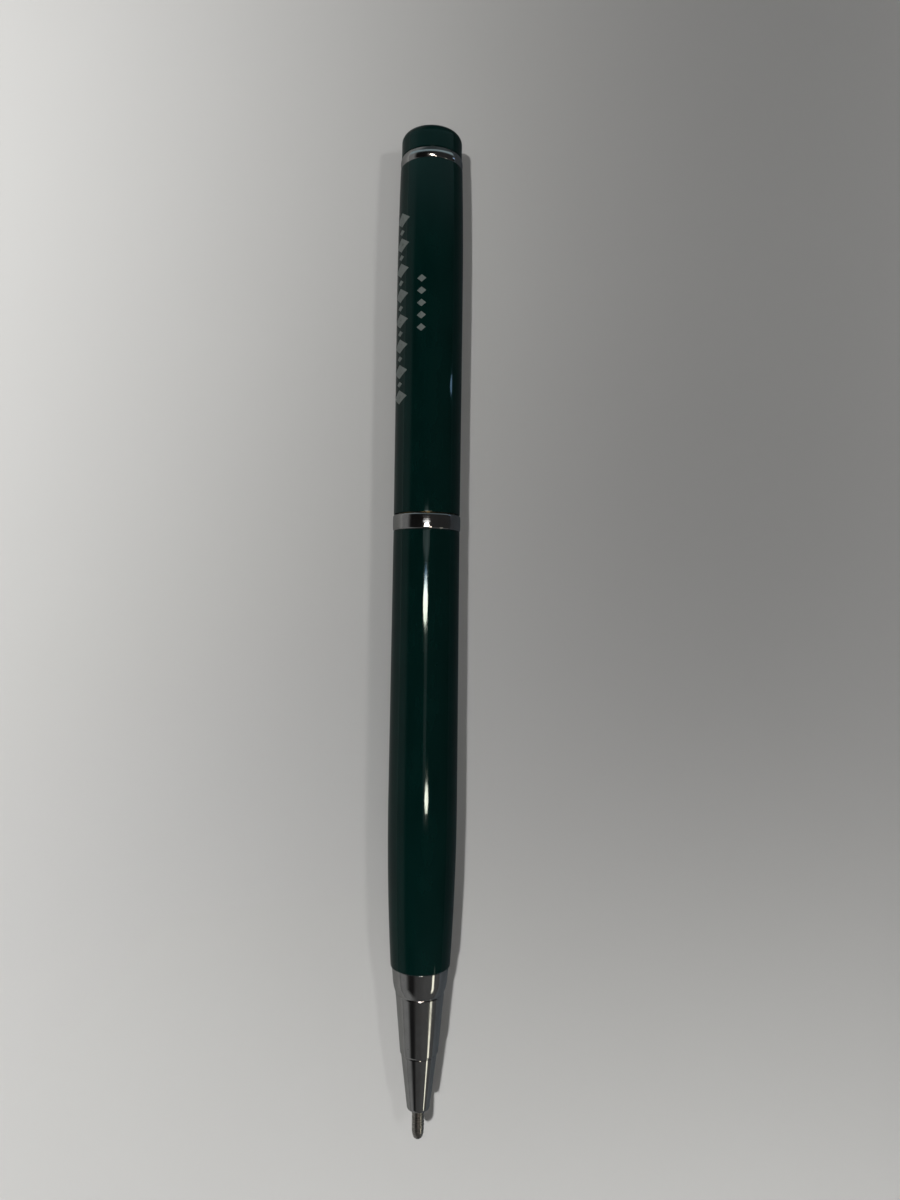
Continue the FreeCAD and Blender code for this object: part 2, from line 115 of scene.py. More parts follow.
TIP_LIP = 0.09  # width of the metal round the ball
TIP_FLANK = ((0.75, 0.72), (1.4, TIP_RADIUS - 0.02))  # middle and end of the rounded stretch behind the lip
TIP_SHOULDER = 9.6
TUBE_BORE_RADIUS = 1.05
TUBE_FRONT = 10.0
CHANNEL_RADIUS = 0.3  # of the ink's way to the ball
CHANNEL_LENGTH = 3.0  # of the cone at its back
SOCKET_PLAY = 0.015  # between the ball and its socket

UPPER_ARC = ((UPPER_TAPER, RIM_RADIUS), (UPPER_BACK - EDGE, UPPER_BACK_RADIUS))  # the upper barrel's taper

SEGMENTS = 144  # round every lathed piece
SHARP_ANGLE = math.radians(40)  # outline corners that turn more than this keep a crisp edge


# Outlines.


def arc(start, middle, end, steps=8):
    """Points after `start` up to `end`, on the circle through three points."""
    a, b, c = (Vector(p) for p in (start, middle, end))
    ab, ac = b - a, c - a
    cross = 2 * (ab.x * ac.y - ab.y * ac.x)
    centre = a + Vector(
        (
            ac.y * ab.length_squared - ab.y * ac.length_squared,
            ab.x * ac.length_squared - ac.x * ab.length_squared,
        )
    ) / cross
    first = math.atan2(a.y - centre.y, a.x - centre.x)
    last = math.atan2(c.y - centre.y, c.x - centre.x)
    sweep = (last - first + math.pi) % (2 * math.pi) - math.pi
    radius = (a - centre).length
    angles = [first + sweep * i / steps for i in range(1, steps + 1)]
    return [(centre.x + radius * math.cos(t), centre.y + radius * math.sin(t)) for t in angles]


def rounded(before, corner, after, steps=6):
    """A quarter turn from `before` to `after` round a corner."""
    centre = [b + a - c for b, c, a in zip(before, corner, after)]
    points = []
    for i in range(steps + 1):
        turn = math.pi / 2 * i / steps
        points.append(
            tuple(
                m + (b - m) * math.cos(turn) + (a - m) * math.sin(turn)
                for m, b, a in zip(centre, before, after)
            )
        )
    return points


def long_arc_radius(level, low, station):
    """The radius at a station on the long arc that leaves `level` parallel to the axis and ends at `low`."""
    run, drop = low[0] - level[0], level[1] - low[1]
    arc_radius = (run**2 + drop**2) / (2 * drop)
    return level[1] - arc_radius + math.sqrt(arc_radius**2 - (station - level[0]) ** 2)


def long_arc(level, low, steps=40):
    """Points after `level` up to `low`, on the long arc between them."""
    run = low[0] - level[0]
    stations = [level[0] + run * i / steps for i in range(1, steps + 1)]
    return [(station, long_arc_radius(level, low, station)) for station in stations]


def screw(front, turns, pitch, root, crest):
    """The ridges of a screw thread."""
    points = []
    for turn in range(turns):
        points += [(front + turn * pitch, root), (front + (turn + 0.5) * pitch, crest)]
    return points + [(front + turns * pitch, root)]


def braced(outline, closed, brace=0.04):
    """The outline with a point close to each end of its long straights, which keeps their shading straight."""
    points = []
    count = len(outline)
    for i, here in enumerate(outline):
        points.append(here)
        if i == count - 1 and not closed:
            break
        there = outline[(i + 1) % count]
        length = math.dist(here, there)
        if length > 6 * brace:
            for share in (brace / length, 1 - brace / length):
                points.append(tuple(h + (t - h) * share for h, t in zip(here, there)))
    return points


def lathe(name, outline, closed=True):
    """A piece turned from an outline that goes from front to back over the outside. A closed outline makes a tube;
    an open one starts and ends on the axis."""
    points = braced(outline, closed)
    mesh = bmesh.new()
    rings = []
    for s, r in points:
        x = TIP_X + s * MM
        if r < 1e-6:
            rings.append([mesh.verts.new((x, 0, AXIS_HEIGHT))])
            continue
        ring = []
        for k in range(SEGMENTS):
            angle = 2 * math.pi * k / SEGMENTS
            ring.append(
                mesh.verts.new((x, -r * MM * math.sin(angle), AXIS_HEIGHT + r * MM * math.cos(angle)))
            )
        rings.append(ring)
    pairs = list(zip(rings, rings[1:]))
    if closed:
        pairs.append((rings[-1], rings[0]))
    for near, far in pairs:
        for k in range(SEGMENTS):
            corners = [near[k % len(near)], near[(k + 1) % len(near)]]
            corners += [far[(k + 1) % len(far)], far[k % len(far)]]
            corners = list(dict.fromkeys(corners))
            if len(corners) > 2:
                mesh.faces.new(corners)
    for face in mesh.faces:
        face.smooth = True
    for edge in mesh.edges:
        if len(edge.link_faces) == 2 and edge.calc_face_angle() > SHARP_ANGLE:
            edge.smooth = False
    return finished(name, mesh)


def finished(name, mesh):
    """The mesh as a new object in the scene, with its faces turned outwards."""
    bmesh.ops.recalc_face_normals(mesh, faces=mesh.faces)
    data = bpy.data.meshes.new(name)
    mesh.to_mesh(data)
    mesh.free()
    piece = bpy.data.objects.new(name, data)
    bpy.context.scene.collection.objects.link(piece)
    return piece


# The lathed pieces. Each function gives an outline, over the outside from front to back and then through the bore.


def nose_cone():
    second_rise = SECOND_STEP_RADIUS + STEP_HEIGHT
    first_rise = FIRST_STEP_RADIUS + STEP_HEIGHT
    first_foot = (FIRST_STEP + EDGE, FIRST_STEP_RADIUS + EDGE / 2)
    second_foot = (SECOND_STEP + EDGE, SECOND_STEP_RADIUS)
    shoulder = (SECOND_STEP + SECOND_RISE, second_rise + SECOND_WIDENING)
    first_middle = (FIRST_STEP + 0.14, first_rise - 0.06)
    second_middle = (SECOND_STEP + 0.55, second_rise)
    root = NOSE_THREAD[3]
    return [
        (NOSE_FRONT, NOSE_HOLE_RADIUS),
        *rounded(
            (NOSE_FRONT, NOSE_FRONT_RADIUS - NOSE_ROUNDING),
            (NOSE_FRONT, NOSE_FRONT_RADIUS),
            (NOSE_FRONT + NOSE_ROUNDING, NOSE_FRONT_RADIUS),
        ),
        (FIRST_STEP - EDGE, FIRST_STEP_RADIUS),
        (FIRST_STEP, FIRST_STEP_RADIUS - EDGE / 2),
        first_foot,
        *arc(first_foot, first_middle, (FIRST_STEP + FIRST_RISE, first_rise), 5),
        (SECOND_STEP - EDGE, SECOND_STEP_RADIUS),
        (SECOND_STEP, SECOND_STEP_RADIUS - EDGE),
        second_foot,
        *arc(second_foot, second_middle, shoulder, 12),
        (BARREL_FRONT - EDGE, NOSE_BACK_RADIUS),
        (BARREL_FRONT, NOSE_BACK_RADIUS - EDGE),
        (BARREL_FRONT, root),
        *screw(*NOSE_THREAD),
        (NOSE_THREAD_BACK, root - EDGE),
        (NOSE_THREAD_BACK, NOSE_BORE_RADIUS),
        (NOSE_BORE_FRONT, NOSE_BORE_RADIUS),
        (NOSE_BORE_FRONT - NOSE_BORE_TAPER, NOSE_HOLE_RADIUS),
    ]


def lower_barrel():
    front = (BARREL_FRONT + EDGE, BARREL_FRONT_RADIUS)
    widest = (SWELL, WIDEST_RADIUS)
    swell = [front, *reversed(long_arc(widest, front)[:-1]), widest]
    return [
        *rounded((BARREL_FRONT, BARREL_FRONT_RADIUS - EDGE), (BARREL_FRONT, BARREL_FRONT_RADIUS), front)[:-1],
        *swell,
        *rounded((RING_FRONT - EDGE, RIM_RADIUS), (RING_FRONT, RIM_RADIUS), (RING_FRONT, RIM_RADIUS - EDGE)),
        (RING_FRONT, BORE_RADIUS),
        (FRONT_BORE_BACK + FRONT_BORE_TAPER, BORE_RADIUS),
        (FRONT_BORE_BACK, FRONT_BORE_RADIUS),
        (BARREL_FRONT, FRONT_BORE_RADIUS),
    ]


def centre_ring():
    rounding = 2.5 * EDGE
    front = (RING_FRONT + rounding, RING_RADIUS)
    back = (RING_BACK - rounding, RING_RADIUS)
    crown = ((RING_FRONT + RING_BACK) / 2, RING_RADIUS + RING_CROWN)
    return [
        (RING_FRONT, BORE_RADIUS),
        *rounded((RING_FRONT, RING_RADIUS - rounding), (RING_FRONT, RING_RADIUS), front),
        *arc(front, crown, back, 6)[:-1],
        *rounded(back, (RING_BACK, RING_RADIUS), (RING_BACK, RING_RADIUS - rounding)),
        (RING_BACK, BORE_RADIUS),
    ]


def upper_barrel():
    level, back = UPPER_ARC
    return [
        *rounded((UPPER_FRONT, RIM_RADIUS - EDGE), (UPPER_FRONT, RIM_RADIUS), (UPPER_FRONT + EDGE, RIM_RADIUS)),
        level,
        *long_arc(level, back)[:-1],
        *rounded(back, (UPPER_BACK, UPPER_BACK_RADIUS), (UPPER_BACK, UPPER_BACK_RADIUS - EDGE)),
        (UPPER_BACK, BORE_RADIUS),
        (UPPER_FRONT, BORE_RADIUS),
    ]


def top_ring():
    flank = TOP_RING_RADIUS - 1.5 * EDGE
    front = (UPPER_BACK, flank)
    return [
        (UPPER_BACK, STUD_RADIUS + EDGE / 2),
        front,
        *arc(front, ((UPPER_BACK + TOP_RING_BACK) / 2, TOP_RING_RADIUS), (TOP_RING_BACK, flank), 10),
        (TOP_RING_BACK, STUD_RADIUS + EDGE / 2),
    ]


def end_cap():
    rounding = LENGTH - CAP_CROWN - CAP_SHOULDER
    crown_edge = (LENGTH - CAP_CROWN, CAP_RADIUS - rounding)
    front_edge = (TOP_RING_BACK + EDGE, CAP_RADIUS)
    dome_radius = (crown_edge[1] ** 2 + CAP_CROWN**2) / (2 * CAP_CROWN)
    dome, dome_steps = [], 8
    for i in range(1, dome_steps + 1):
        r = crown_edge[1] * (1 - i / dome_steps)
        dome.append((LENGTH - dome_radius + math.sqrt(dome_radius**2 - r**2), r))
    return [
        (CAP_HOLE_BACK, 0),
        (CAP_HOLE_BACK, STUD_RADIUS),
        (TOP_RING_BACK, STUD_RADIUS + EDGE / 2),
        *rounded((TOP_RING_BACK, CAP_RADIUS - EDGE), (TOP_RING_BACK, CAP_RADIUS), front_edge),
        *rounded((CAP_SHOULDER, CAP_RADIUS), (crown_edge[0], CAP_RADIUS), crown_edge, 12),
        *dome,
    ]


def refill_tip():
    socket = BALL_RADIUS + SOCKET_PLAY
    rim = math.sqrt(socket**2 - (BALL_RADIUS - TIP_RIM) ** 2)
    lip = (TIP_RIM, rim + TIP_LIP)
    socket_back = (BALL_RADIUS + math.sqrt(socket**2 - CHANNEL_RADIUS**2), CHANNEL_RADIUS)
    return [
        (TIP_RIM, rim),
        lip,
        *arc(lip, *TIP_FLANK),
        (TIP_STRAIGHT, TIP_RADIUS),
        (TIP_SHOULDER, TIP_RADIUS),
        (TIP_SHOULDER + EDGE, TUBE_RADIUS),
        (TUBE_FRONT, TUBE_RADIUS),
        (TUBE_FRONT, TUBE_BORE_RADIUS),
        (TIP_BACK, TUBE_BORE_RADIUS),
        (TIP_BACK, 2 * CHANNEL_RADIUS),
        (TIP_BACK - CHANNEL_LENGTH, CHANNEL_RADIUS),
        socket_back,
        *arc(socket_back, (BALL_RADIUS, socket), (TIP_RIM, rim), 10)[:-1],
    ]


def writing_ball(steps=24):
    points = []
    for i in range(steps + 1):
        turn = math.pi * i / steps
        points.append((BALL_RADIUS - BALL_RADIUS * math.cos(turn), BALL_RADIUS * math.sin(turn)))
    return points


# Node helpers for the materials.


def new_material(name):
    """A material with its node tree and its Principled shader."""
    material = bpy.data.materials.new(name)
    material.use_nodes = True
    tree = material.node_tree
    return material, tree, tree.nodes["Principled BSDF"]


def object_space(tree, scale):
    """Object coordinates stretched by `scale`, in repeats per metre."""
    place = tree.nodes.new("ShaderNodeTexCoord")
    stretch = tree.nodes.new("ShaderNodeMapping")
    stretch.inputs["Scale"].default_value = scale
    tree.links.new(place.outputs["Object"], stretch.inputs["Vector"])
    return stretch.outputs["Vector"]


def noise(tree, scale, detail=3.0, roughness=0.55):
    """Noise with features about 1/scale metres across, along each axis."""
    node = tree.nodes.new("ShaderNodeTexNoise")
    node.inputs["Scale"].default_value = 1.0
    node.inputs["Detail"].default_value = detail
    node.inputs["Roughness"].default_value = roughness
    tree.links.new(object_space(tree, scale), node.inputs["Vector"])
    return node.outputs["Fac"]


def mapped(tree, value, from_low, from_high, to_low, to_high):
    """A value eased from one range into another."""
    node = tree.nodes.new("ShaderNodeMapRange")
    node.interpolation_type = "SMOOTHSTEP"
    for name, number in (
        ("From Min", from_low),
        ("From Max", from_high),
        ("To Min", to_low),
        ("To Max", to_high),
    ):
        node.inputs[name].default_value = number
    tree.links.new(value, node.inputs["Value"])
    return node.outputs["Result"]


def blended(tree, share, first, second):
    """A colour between two, each either a colour or another node's output."""
    node = tree.nodes.new("ShaderNodeMix")
    node.data_type = "RGBA"
    tree.links.new(share, node.inputs["Factor"])
    for name, colour in (("A", first), ("B", second)):
        socket = next(s for s in node.inputs if s.name == name and s.type == "RGBA")
        if isinstance(colour, tuple):
            socket.default_value = (*colour, 1)
        else:
            tree.links.new(colour, socket)
    return next(s for s in node.outputs if s.type == "RGBA")


def maths(tree, operation, first, second):
    """Two values joined by an operation, each either a number or another node's output."""
    node = tree.nodes.new("ShaderNodeMath")
    node.operation = operation
    for socket, value in zip(node.inputs, (first, second)):
        if isinstance(value, (int, float)):
            socket.default_value = value
        else:
            tree.links.new(value, socket)
    return node.outputs["Value"]


def bumped(tree, height, distance, onto=None):
    """A normal with `height` raised by `distance` metres, on top of another bumped normal if one is given."""
    node = tree.nodes.new("ShaderNodeBump")
    node.inputs["Distance"].default_value = distance
    tree.links.new(height, node.inputs["Height"])
    if onto is not None:
        tree.links.new(onto, node.inputs["Normal"])
    return node.outputs["Normal"]


# Materials.


def green_lacquer():
    """Deep, glossy green: clear lacquer over colour, with a faint orange peel, rubbed patches and hairline marks."""
    material, tree, shader = new_material("green_lacquer")
    cloud = noise(tree, (160, 400, 400))
    shader.inputs["IOR"].default_value = 1.42
    shader.inputs["Specular Tint"].default_value = (0.8, 1, 0.98, 1)
    deep, light = (0.0011, 0.0126, 0.0106), (0.0016, 0.0154, 0.0130)
    tree.links.new(
        blended(tree, mapped(tree, cloud, 0.35, 0.65, 0, 1), deep, light), shader.inputs["Base Color"]
    )
    rubbed = noise(tree, (90, 260, 260), detail=5)
    tree.links.new(mapped(tree, rubbed, 0.4, 0.75, 0.03, 0.075), shader.inputs["Roughness"])
    peel = bumped(tree, noise(tree, (700, 900, 900), detail=2), 0.0000012)
    hairlines = noise(tree, (300, 9000, 9000), detail=2)
    marks = mapped(tree, hairlines, 0.66, 0.74, 0, 1)
    tree.links.new(bumped(tree, marks, 0.0000003, onto=peel), shader.inputs["Normal"])
    return material


def chrome():
    """Bright plating over turned brass, with fine turning marks, handling smears and a few dull specks."""
    material, tree, shader = new_material("chrome")
    shader.inputs["Metallic"].default_value = 1.0
    smears = noise(tree, (250, 500, 500), detail=5, roughness=0.65)
    specks = noise(tree, (2600, 2600, 2600), detail=2)
    bright = blended(tree, mapped(tree, smears, 0.35, 0.7, 0, 1), (0.66, 0.66, 0.65), (0.56, 0.56, 0.55))
    speckled = blended(tree, mapped(tree, specks, 0.72, 0.78, 0, 1), bright, (0.22, 0.21, 0.2))
    tree.links.new(speckled, shader.inputs["Base Color"])
    tree.links.new(mapped(tree, smears, 0.35, 0.75, 0.07, 0.2), shader.inputs["Roughness"])
    turning = noise(tree, (22000, 60, 60), detail=2)
    tree.links.new(bumped(tree, turning, 0.0000004), shader.inputs["Normal"])
    return material


def turned_metal(name, light, dark, roughness, mark=0.0000015):
    """Bare metal off a lathe: rings of fine tool marks, with a slow change of tone."""
    material, tree, shader = new_material(name)
    shader.inputs["Metallic"].default_value = 1.0
    tone = noise(tree, (300, 500, 500), detail=4)
    tree.links.new(blended(tree, mapped(tree, tone, 0.35, 0.65, 0, 1), light, dark), shader.inputs["Base Color"])
    marks = noise(tree, (14000, 90, 90), detail=3)
    tree.links.new(mapped(tree, marks, 0.3, 0.7, roughness - 0.07, roughness + 0.09), shader.inputs["Roughness"])
    tree.links.new(bumped(tree, marks, mark), shader.inputs["Normal"])
    return material


def carbide():
    """A lapped ball, with a fine grey grain."""
    material, tree, shader = new_material("carbide")
    shader.inputs["Metallic"].default_value = 1.0
    grain = noise(tree, (26000, 26000, 26000), detail=2)
    tree.links.new(blended(tree, grain, (0.5, 0.5, 0.52), (0.3, 0.3, 0.32)), shader.inputs["Base Color"])
    tree.links.new(mapped(tree, grain, 0.3, 0.7, 0.12, 0.3), shader.inputs["Roughness"])
    return material


def nylon():
    """Off-white moulded nylon, a little cloudy."""
    material, tree, shader = new_material("nylon")
    cloud = noise(tree, (500, 500, 500), detail=4)
    tree.links.new(blended(tree, cloud, (0.76, 0.74, 0.67), (0.64, 0.62, 0.55)), shader.inputs["Base Color"])
    tree.links.new(mapped(tree, cloud, 0.3, 0.7, 0.4, 0.55), shader.inputs["Roughness"])
    shader.inputs["Subsurface Weight"].default_value = 0.15
    shader.inputs["Subsurface Radius"].default_value = (0.0006, 0.0006, 0.0005)
    tree.links.new(bumped(tree, noise(tree, (6000, 6000, 6000)), 0.000004), shader.inputs["Normal"])
    return material


def ink():
    """Dark blue paste, wet and faintly swirled."""
    material, tree, shader = new_material("ink")
    swirl = noise(tree, (200, 900, 900), detail=3)
    tree.links.new(blended(tree, swirl, (0.004, 0.006, 0.05), (0.01, 0.012, 0.11)), shader.inputs["Base Color"])
    tree.links.new(mapped(tree, swirl, 0.3, 0.7, 0.08, 0.2), shader.inputs["Roughness"])
    return material


def silver_print():
    """Silver print, a little worn: it thins to the green lacquer in small patches."""
    material, tree, shader = new_material("silver_print")
    shader.inputs["Metallic"].default_value = 0.35
    grain = noise(tree, (5200, 5200, 5200), detail=3)
    wear = mapped(tree, noise(tree, (1500, 2100, 2100), detail=5, roughness=0.7), 0.58, 0.7, 0, 1)
    silver = blended(tree, grain, (0.25, 0.28, 0.265), (0.18, 0.205, 0.195))
    tree.links.new(blended(tree, wear, silver, (0.05, 0.075, 0.066)), shader.inputs["Base Color"])
    tree.links.new(mapped(tree, grain, 0.3, 0.7, 0.3, 0.48), shader.inputs["Roughness"])
    tree.links.new(bumped(tree, grain, 0.000003), shader.inputs["Normal"])
    return material


# The ornament on the upper barrel.

PRINT_HEIGHT = 0.012  # how far the print stands off the lacquer


def on_barrel(station, across, lift):
    """A point on the upper barrel: `across` is the distance round it from the top, towards +Y."""
    radius = RIM_RADIUS
    if station > UPPER_TAPER:
        radius = long_arc_radius(*UPPER_ARC, station)
    angle = across / RIM_RADIUS
    r = (radius + lift) * MM
    return Vector((TIP_X + station * MM, r * math.sin(angle), AXIS_HEIGHT + r * math.cos(angle)))


def inlay(mesh, corners, steps=6):
    """A thin closed plate that follows the barrel. Its four corners are (station, across), in order, and it is
    divided so that it bends with the surface."""
    grid = {}
    for i in range(steps + 1):
        for j in range(steps + 1):
            u, v = i / steps, j / steps
            flat = [
                (1 - u) * (1 - v) * corners[0][n]
                + u * (1 - v) * corners[1][n]
                + u * v * corners[2][n]
                + (1 - u) * v * corners[3][n]
                for n in (0, 1)
            ]
            for side, lift in enumerate((-PRINT_HEIGHT, PRINT_HEIGHT)):
                grid[i, j, side] = mesh.verts.new(on_barrel(*flat, lift))
    for i in range(steps):
        for j in range(steps):
            for side in (0, 1):
                ring = [grid[i, j, side], grid[i + 1, j, side], grid[i + 1, j + 1, side], grid[i, j + 1, side]]
                mesh.faces.new(ring)
    rim = [(i, 0) for i in range(steps)] + [(steps, j) for j in range(steps)]
    rim += [(i, steps) for i in range(steps, 0, -1)] + [(0, j) for j in range(steps, 0, -1)]
    for here, there in zip(rim, rim[1:] + rim[:1]):
        mesh.faces.new([grid[(*here, 0)], grid[(*there, 0)], grid[(*there, 1)], grid[(*here, 1)]])


def lozenge(mesh, station, across, half_length, half_width):
    """An inlaid lozenge, with its length along the pen."""
    corners = [
        (station - half_length, across),
        (station, across - half_width),
        (station + half_length, across),
        (station, across + half_width),
    ]
    inlay(mesh, corners)


def large_ornament():
    """A band of tall lozenges with small ones between them."""
    mesh = bmesh.new()
    front, back, across, count = 98.6, 122.4, 4.6, 8
    tall, small = (0.95, 1.6), (0.4, 0.62)  # half length and half width of each kind
    pitch = (back - front) / (count - 1)
    for i in range(count):
        lozenge(mesh, front + i * pitch, across, *tall)
        if i < count - 1:
            lozenge(mesh, front + (i + 0.5) * pitch, across, *small)
    return finished("ornament_band", mesh)


def small_ornament():
    """A short row of small lozenges above the band."""
    mesh = bmesh.new()
    front, across, count, pitch = 107.4, 1.0, 5, 1.62
    half_length, half_width = 0.5, 0.62
    for i in range(count):
        lozenge(mesh, front + pitch * i, across, half_length, half_width)
    return finished("ornament_row", mesh)


# Putting the pen together.

LATHED = (
    # node, outline, closed, body, slot
    ("nose_cone", nose_cone, True, "lower", "chrome"),
    ("lower_barrel", lower_barrel, True, "lower", "green_lacquer"),
    ("centre_ring", centre_ring, True, "lower", "chrome"),
    ("upper_barrel", upper_barrel, True, "upper", "green_lacquer"),
    ("top_ring", top_ring, True, "upper", "chrome"),
    ("end_cap", end_cap, False, "upper", "green_lacquer"),
    ("refill_tip", refill_tip, True, "refill", "nickel_silver"),
    ("writing_ball", writing_ball, False, "ball", "carbide"),
)


def make_materials():
    """Every material of the pen, under the name of its slot."""
    return {
        "green_lacquer": green_lacquer(),
        "chrome": chrome(),
        "silver_print": silver_print(),
        "brass": turned_metal("brass", (0.62, 0.44, 0.17), (0.5, 0.34, 0.12), 0.26),
        "nickel_silver": turned_metal("nickel_silver", (0.6, 0.58, 0.53), (0.46, 0.44, 0.4), 0.24, 0.000001),
        "steel": turned_metal("steel", (0.5, 0.5, 0.51), (0.4, 0.4, 0.41), 0.22),
        "carbide": carbide(),
        "nylon": nylon(),
        "ink": ink(),
    }


def dress(piece, material):
    """Gives a piece one material and no other."""
    piece.data.materials.clear()
    piece.data.materials.append(material)


def build_pen(materials):
    """The shells and the ornament, and the frame's own nodes inside them."""
    for node, outline, closed, body, slot in LATHED:
        piece = lathe(node + "_shell", outline(), closed)
        dress(piece, materials[slot])
        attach(piece, body)
        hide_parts(node)
    for piece in (large_ornament(), small_ornament()):
        dress(piece, materials["silver_print"])
        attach(piece, "upper")
    shown_by_shells = {row[0] for row in LATHED}
    for part in frame["record"]["subparts"]:
        if part["node"] not in shown_by_shells:
            inner = frame["nodes"][part["node"]]
            for place in inner.material_slots:
                place.material = materials[part["material_slot"]]


# The table, the light and the camera.


def table_material():
    """A pale satin table top, slightly uneven in tone. Reflections of it show a painted shade in place of its own
    colour, darker on the -Y side of the pen than on the +Y side."""
    material, tree, shader = new_material("table")
    cloud = noise(tree, (14, 14, 14), detail=4)
    pale = blended(tree, cloud, (0.52, 0.515, 0.50), (0.56, 0.555, 0.54))
    sides = tree.nodes.new("ShaderNodeSeparateXYZ")
    tree.links.new(object_space(tree, (1, 1, 1)), sides.inputs["Vector"])
    across = mapped(tree, sides.outputs["Y"], -0.004, 0.004, 0, 1)
    # Painted shade: the colour that glossy rays see on the table, much darker than its own, and darkest on the -Y
    # side.
    reflected_painted_shade = blended(tree, across, (0.085, 0.095, 0.105), (0.2, 0.2, 0.195))
    path = tree.nodes.new("ShaderNodeLightPath")
    tree.links.new(blended(tree, path.outputs["Is Glossy Ray"], pale, reflected_painted_shade), shader.inputs["Base Color"])
    grain = noise(tree, (900, 900, 900), detail=3)
    tree.links.new(mapped(tree, grain, 0.3, 0.7, 0.5, 0.62), shader.inputs["Roughness"])
    shader.inputs["Specular IOR Level"].default_value = 0.04
    tree.links.new(bumped(tree, grain, 0.000004), shader.inputs["Normal"])
    return material


def make_table(half_width=0.8, divisions=8):
    mesh = bmesh.new()
    bmesh.ops.create_grid(mesh, x_segments=divisions, y_segments=divisions, size=half_width)
    table = finished("table", mesh)
    table.location.z = CAD_LOW.z
    dress(table, table_material())


def area_light(name, place, target, width, height, power, colour=(1, 1, 1), glossy=True, diffuse=True):
    """A rectangular lamp that faces its target. The camera never sees it."""
    data = bpy.data.lights.new(name, "AREA")
    data.shape = "RECTANGLE"
    data.size, data.size_y = width, height
    data.energy = power
    data.color = colour
    light = bpy.data.objects.new(name, data)
    bpy.context.scene.collection.objects.link(light)
    light.location = place
    light.rotation_mode = "QUATERNION"
    light.rotation_quaternion = (Vector(target) - Vector(place)).to_track_quat("-Z", "Y")
    light.visible_glossy = glossy
    light.visible_diffuse = diffuse
    light.visible_camera = False
    return light


def overhead(angle_from_up, distance):
    """A point at a distance from the pen, leaning from straight up towards -Y."""
    lean = math.radians(angle_from_up)
    return (0, -distance * math.sin(lean), AXIS_HEIGHT + distance * math.cos(lean))


def lamp(name, direction, width_across, width_along, radiance, colour, distance=1.5):
    """An oval lamp that only shows as a reflection. It lies in a direction from the pen, and its widths are the
    angles, in degrees, that it takes up across and along the pen."""
    toward = Vector(direction).normalized()
    place = Vector((0, 0, AXIS_HEIGHT)) + toward * distance
    width = 2 * distance * math.tan(math.radians(width_across) / 2)
    length = 2 * distance * math.tan(math.radians(width_along) / 2)
    power = radiance * math.pi * (math.pi / 4 * width * length)  # radiance times pi times the ellipse's area
    light = area_light(name, place, (0, 0, AXIS_HEIGHT), width, length, power, colour, diffuse=False)
    light.data.shape = "ELLIPSE"
    along = (Vector((1, 0, 0)) - toward * toward.x).normalized()
    across = along.cross(toward)
    light.rotation_quaternion = Matrix((across, along, toward)).transposed().to_quaternion()


def mirrored_in_barrel(station, lean):
    """The direction of a lamp whose image the camera sees at a station of the barrel. The direction leans towards -Y
    from straight up."""
    camera = bpy.context.scene.camera.location
    along = (TIP_X + station * MM - camera.x) / (camera.z - AXIS_HEIGHT - RIM_RADIUS * MM)
    tilt = math.radians(lean)
    return (along, -math.sin(tilt), math.cos(tilt))


def pool(name, place, target, radius, power, softness):
    """A lamp whose light falls off smoothly to nothing at a radius round its target on the table. Its softness is
    the radius of the lamp itself."""
    place, target = Vector(place), Vector(target)
    data = bpy.data.lights.new(name, "SPOT")
    data.energy = power
    data.shadow_soft_size = softness
    data.spot_size = 2 * math.atan(radius / (place - target).length)
    data.spot_blend = 1.0
    light = bpy.data.objects.new(name, data)
    bpy.context.scene.collection.objects.link(light)
    light.location = place
    light.rotation_euler = (place - target).to_track_quat("Z", "Y").to_euler()
    light.visible_glossy = False


def make_lights():
    """Pools of light and a weak fill for the table and every matte surface, and lamps that only reflections show."""
    pools = (
        # name, place, target, radius, power, softness
        ("key", overhead(-15, 1.5), (0.07, 0.2, 0), 0.24, 148, 0.045),
        ("front_pool", overhead(-15, 1.5), (-0.2, 0, 0), 0.21, 104, 0.045),
        ("side", overhead(33, 1.2), (0.02, -0.3, 0), 0.3, 40, 0.1),
    )
    for row in pools:
        pool(*row)
    area_light("fill", overhead(0, 1.2), (0, 0, 0), width=0.9, height=0.9, power=0.9, glossy=False)
    lamps = (
        # name, direction, width across, width along, radiance, colour
        ("lamp_back", mirrored_in_barrel(72.6, 1.4), 15.5, 3, 40, (1, 0.87, 0.75)),
        ("lamp_back_cool", mirrored_in_barrel(75.2, 1.4), 11, 2.2, 7, (0.3, 0.55, 1)),
        ("lamp_front", mirrored_in_barrel(45.2, 13.7), 12, 1.9, 42, (1, 0.84, 0.72)),
        ("lamp_ring", mirrored_in_barrel(82, 1.4), 24, 3, 0.8, (1, 1, 1)),
        ("lamp_strip", mirrored_in_barrel(62.6, 5), 10, 23, 0.3, (1, 1, 1)),
        ("lamp_nose", (-0.59, -0.70, 0.40), 8, 16, 1.4, (1, 0.97, 0.8)),
        ("window_glint", mirrored_in_barrel(102.4, 89), 15, 1.2, 4, (0.45, 0.65, 1)),
    )
    for row in lamps:
        lamp(*row)


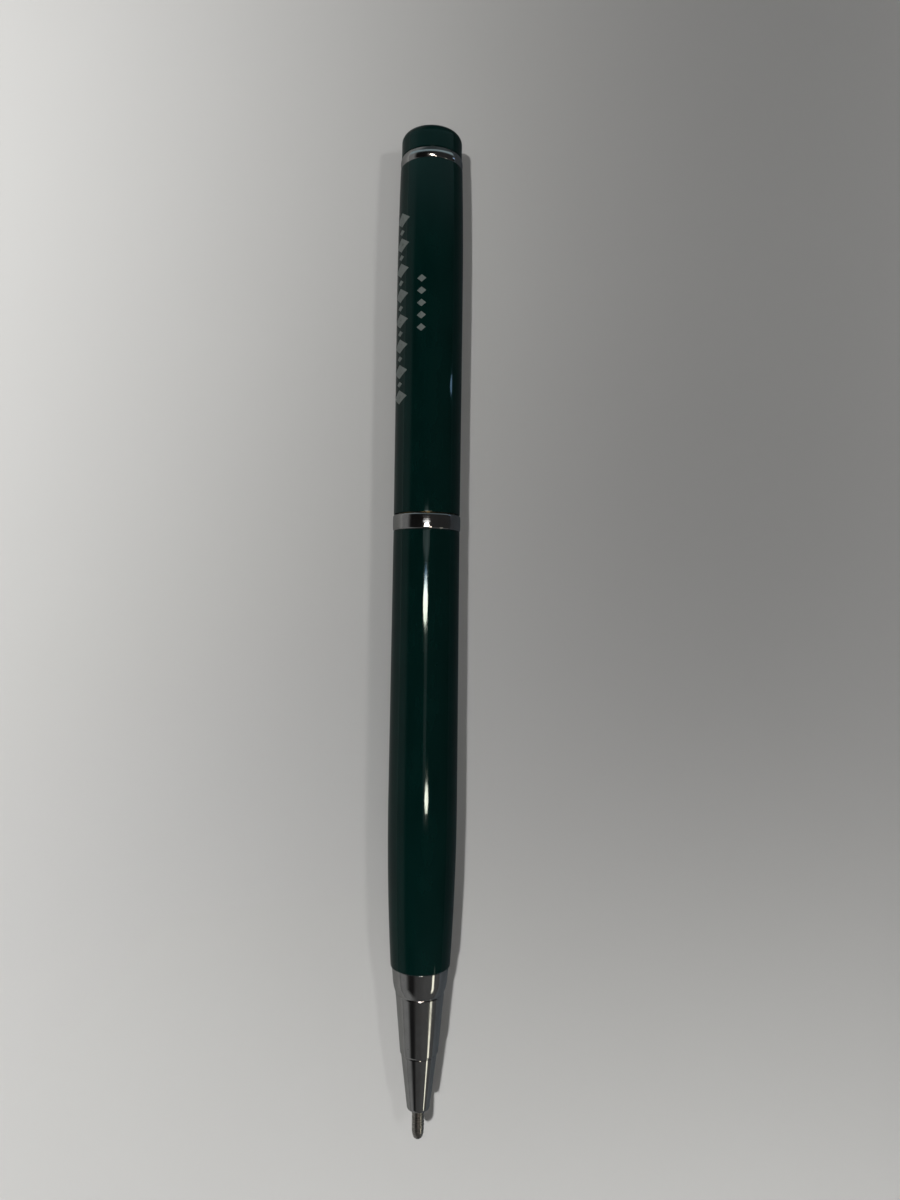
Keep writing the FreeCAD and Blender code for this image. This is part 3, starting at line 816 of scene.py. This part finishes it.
def make_world():
    """Reflections show a dim room: darkest above the pen, paler towards its two ends, with a pale wall low on the +Y
    side. The room's own light is faint and even, and the camera sees a plain pale backdrop behind the table."""
    world = bpy.data.worlds.new("room")
    bpy.context.scene.world = world
    world.use_nodes = True
    tree = world.node_tree
    place = tree.nodes.new("ShaderNodeTexCoord")
    parts = tree.nodes.new("ShaderNodeSeparateXYZ")
    tree.links.new(place.outputs["Generated"], parts.inputs["Vector"])
    along, across, up = (parts.outputs[axis] for axis in "XYZ")
    nose_end = mapped(tree, along, -0.28, -0.55, 0, 0.05)
    nose_end = maths(tree, "MULTIPLY", nose_end, mapped(tree, across, 0.18, 0.42, 1, 0.1))
    side = mapped(tree, across, 0, -0.4, 0.006, 0.022)
    low = mapped(tree, up, 0.36, 0.6, 0.17, 0)
    wall = maths(tree, "MULTIPLY", low, mapped(tree, across, 0.1, 0.5, 0, 1))
    grey = maths(tree, "ADD", nose_end, maths(tree, "ADD", side, wall))
    cap_rise, cap_fall = mapped(tree, along, 0.38, 0.56, 0, 1), mapped(tree, along, 0.6, 0.68, 1, 0.12)
    cap_end = maths(tree, "MULTIPLY", cap_rise, cap_fall)
    room = blended(tree, cap_end, grey, (0.25, 0.325, 0.35))
    path = tree.nodes.new("ShaderNodeLightPath")
    lit = blended(tree, path.outputs["Is Glossy Ray"], (0.04, 0.04, 0.04), room)
    shown = blended(tree, path.outputs["Is Camera Ray"], lit, (0.42, 0.42, 0.41))
    tree.links.new(shown, tree.nodes["Background"].inputs["Color"])


def make_camera():
    """Above the pen, looking almost straight down, with the cap at the top of the frame."""
    data = bpy.data.cameras.new("camera")
    data.sensor_width = 36
    data.lens = 27
    data.clip_start = 0.01
    camera = bpy.data.objects.new("camera", data)
    bpy.context.scene.collection.objects.link(camera)
    pitch, roll = math.radians(1.27), math.radians(0.8)
    height = 0.1214  # above the pen's axis
    back = Vector((-math.sin(pitch), 0, math.cos(pitch)))
    up = Vector((math.cos(pitch), 0, math.sin(pitch)))
    right = up.cross(back)
    turn = Matrix.Rotation(roll, 3, back)
    axes = Matrix((turn @ right, turn @ up, back)).transposed()
    camera.rotation_mode = "QUATERNION"
    camera.rotation_quaternion = axes.to_quaternion()
    camera.location = (0.0016, -0.0033, AXIS_HEIGHT + height)
    bpy.context.scene.camera = camera


bpy.context.scene.view_settings.view_transform = "Standard"
make_camera()
make_table()
make_lights()
make_world()
build_pen(make_materials())
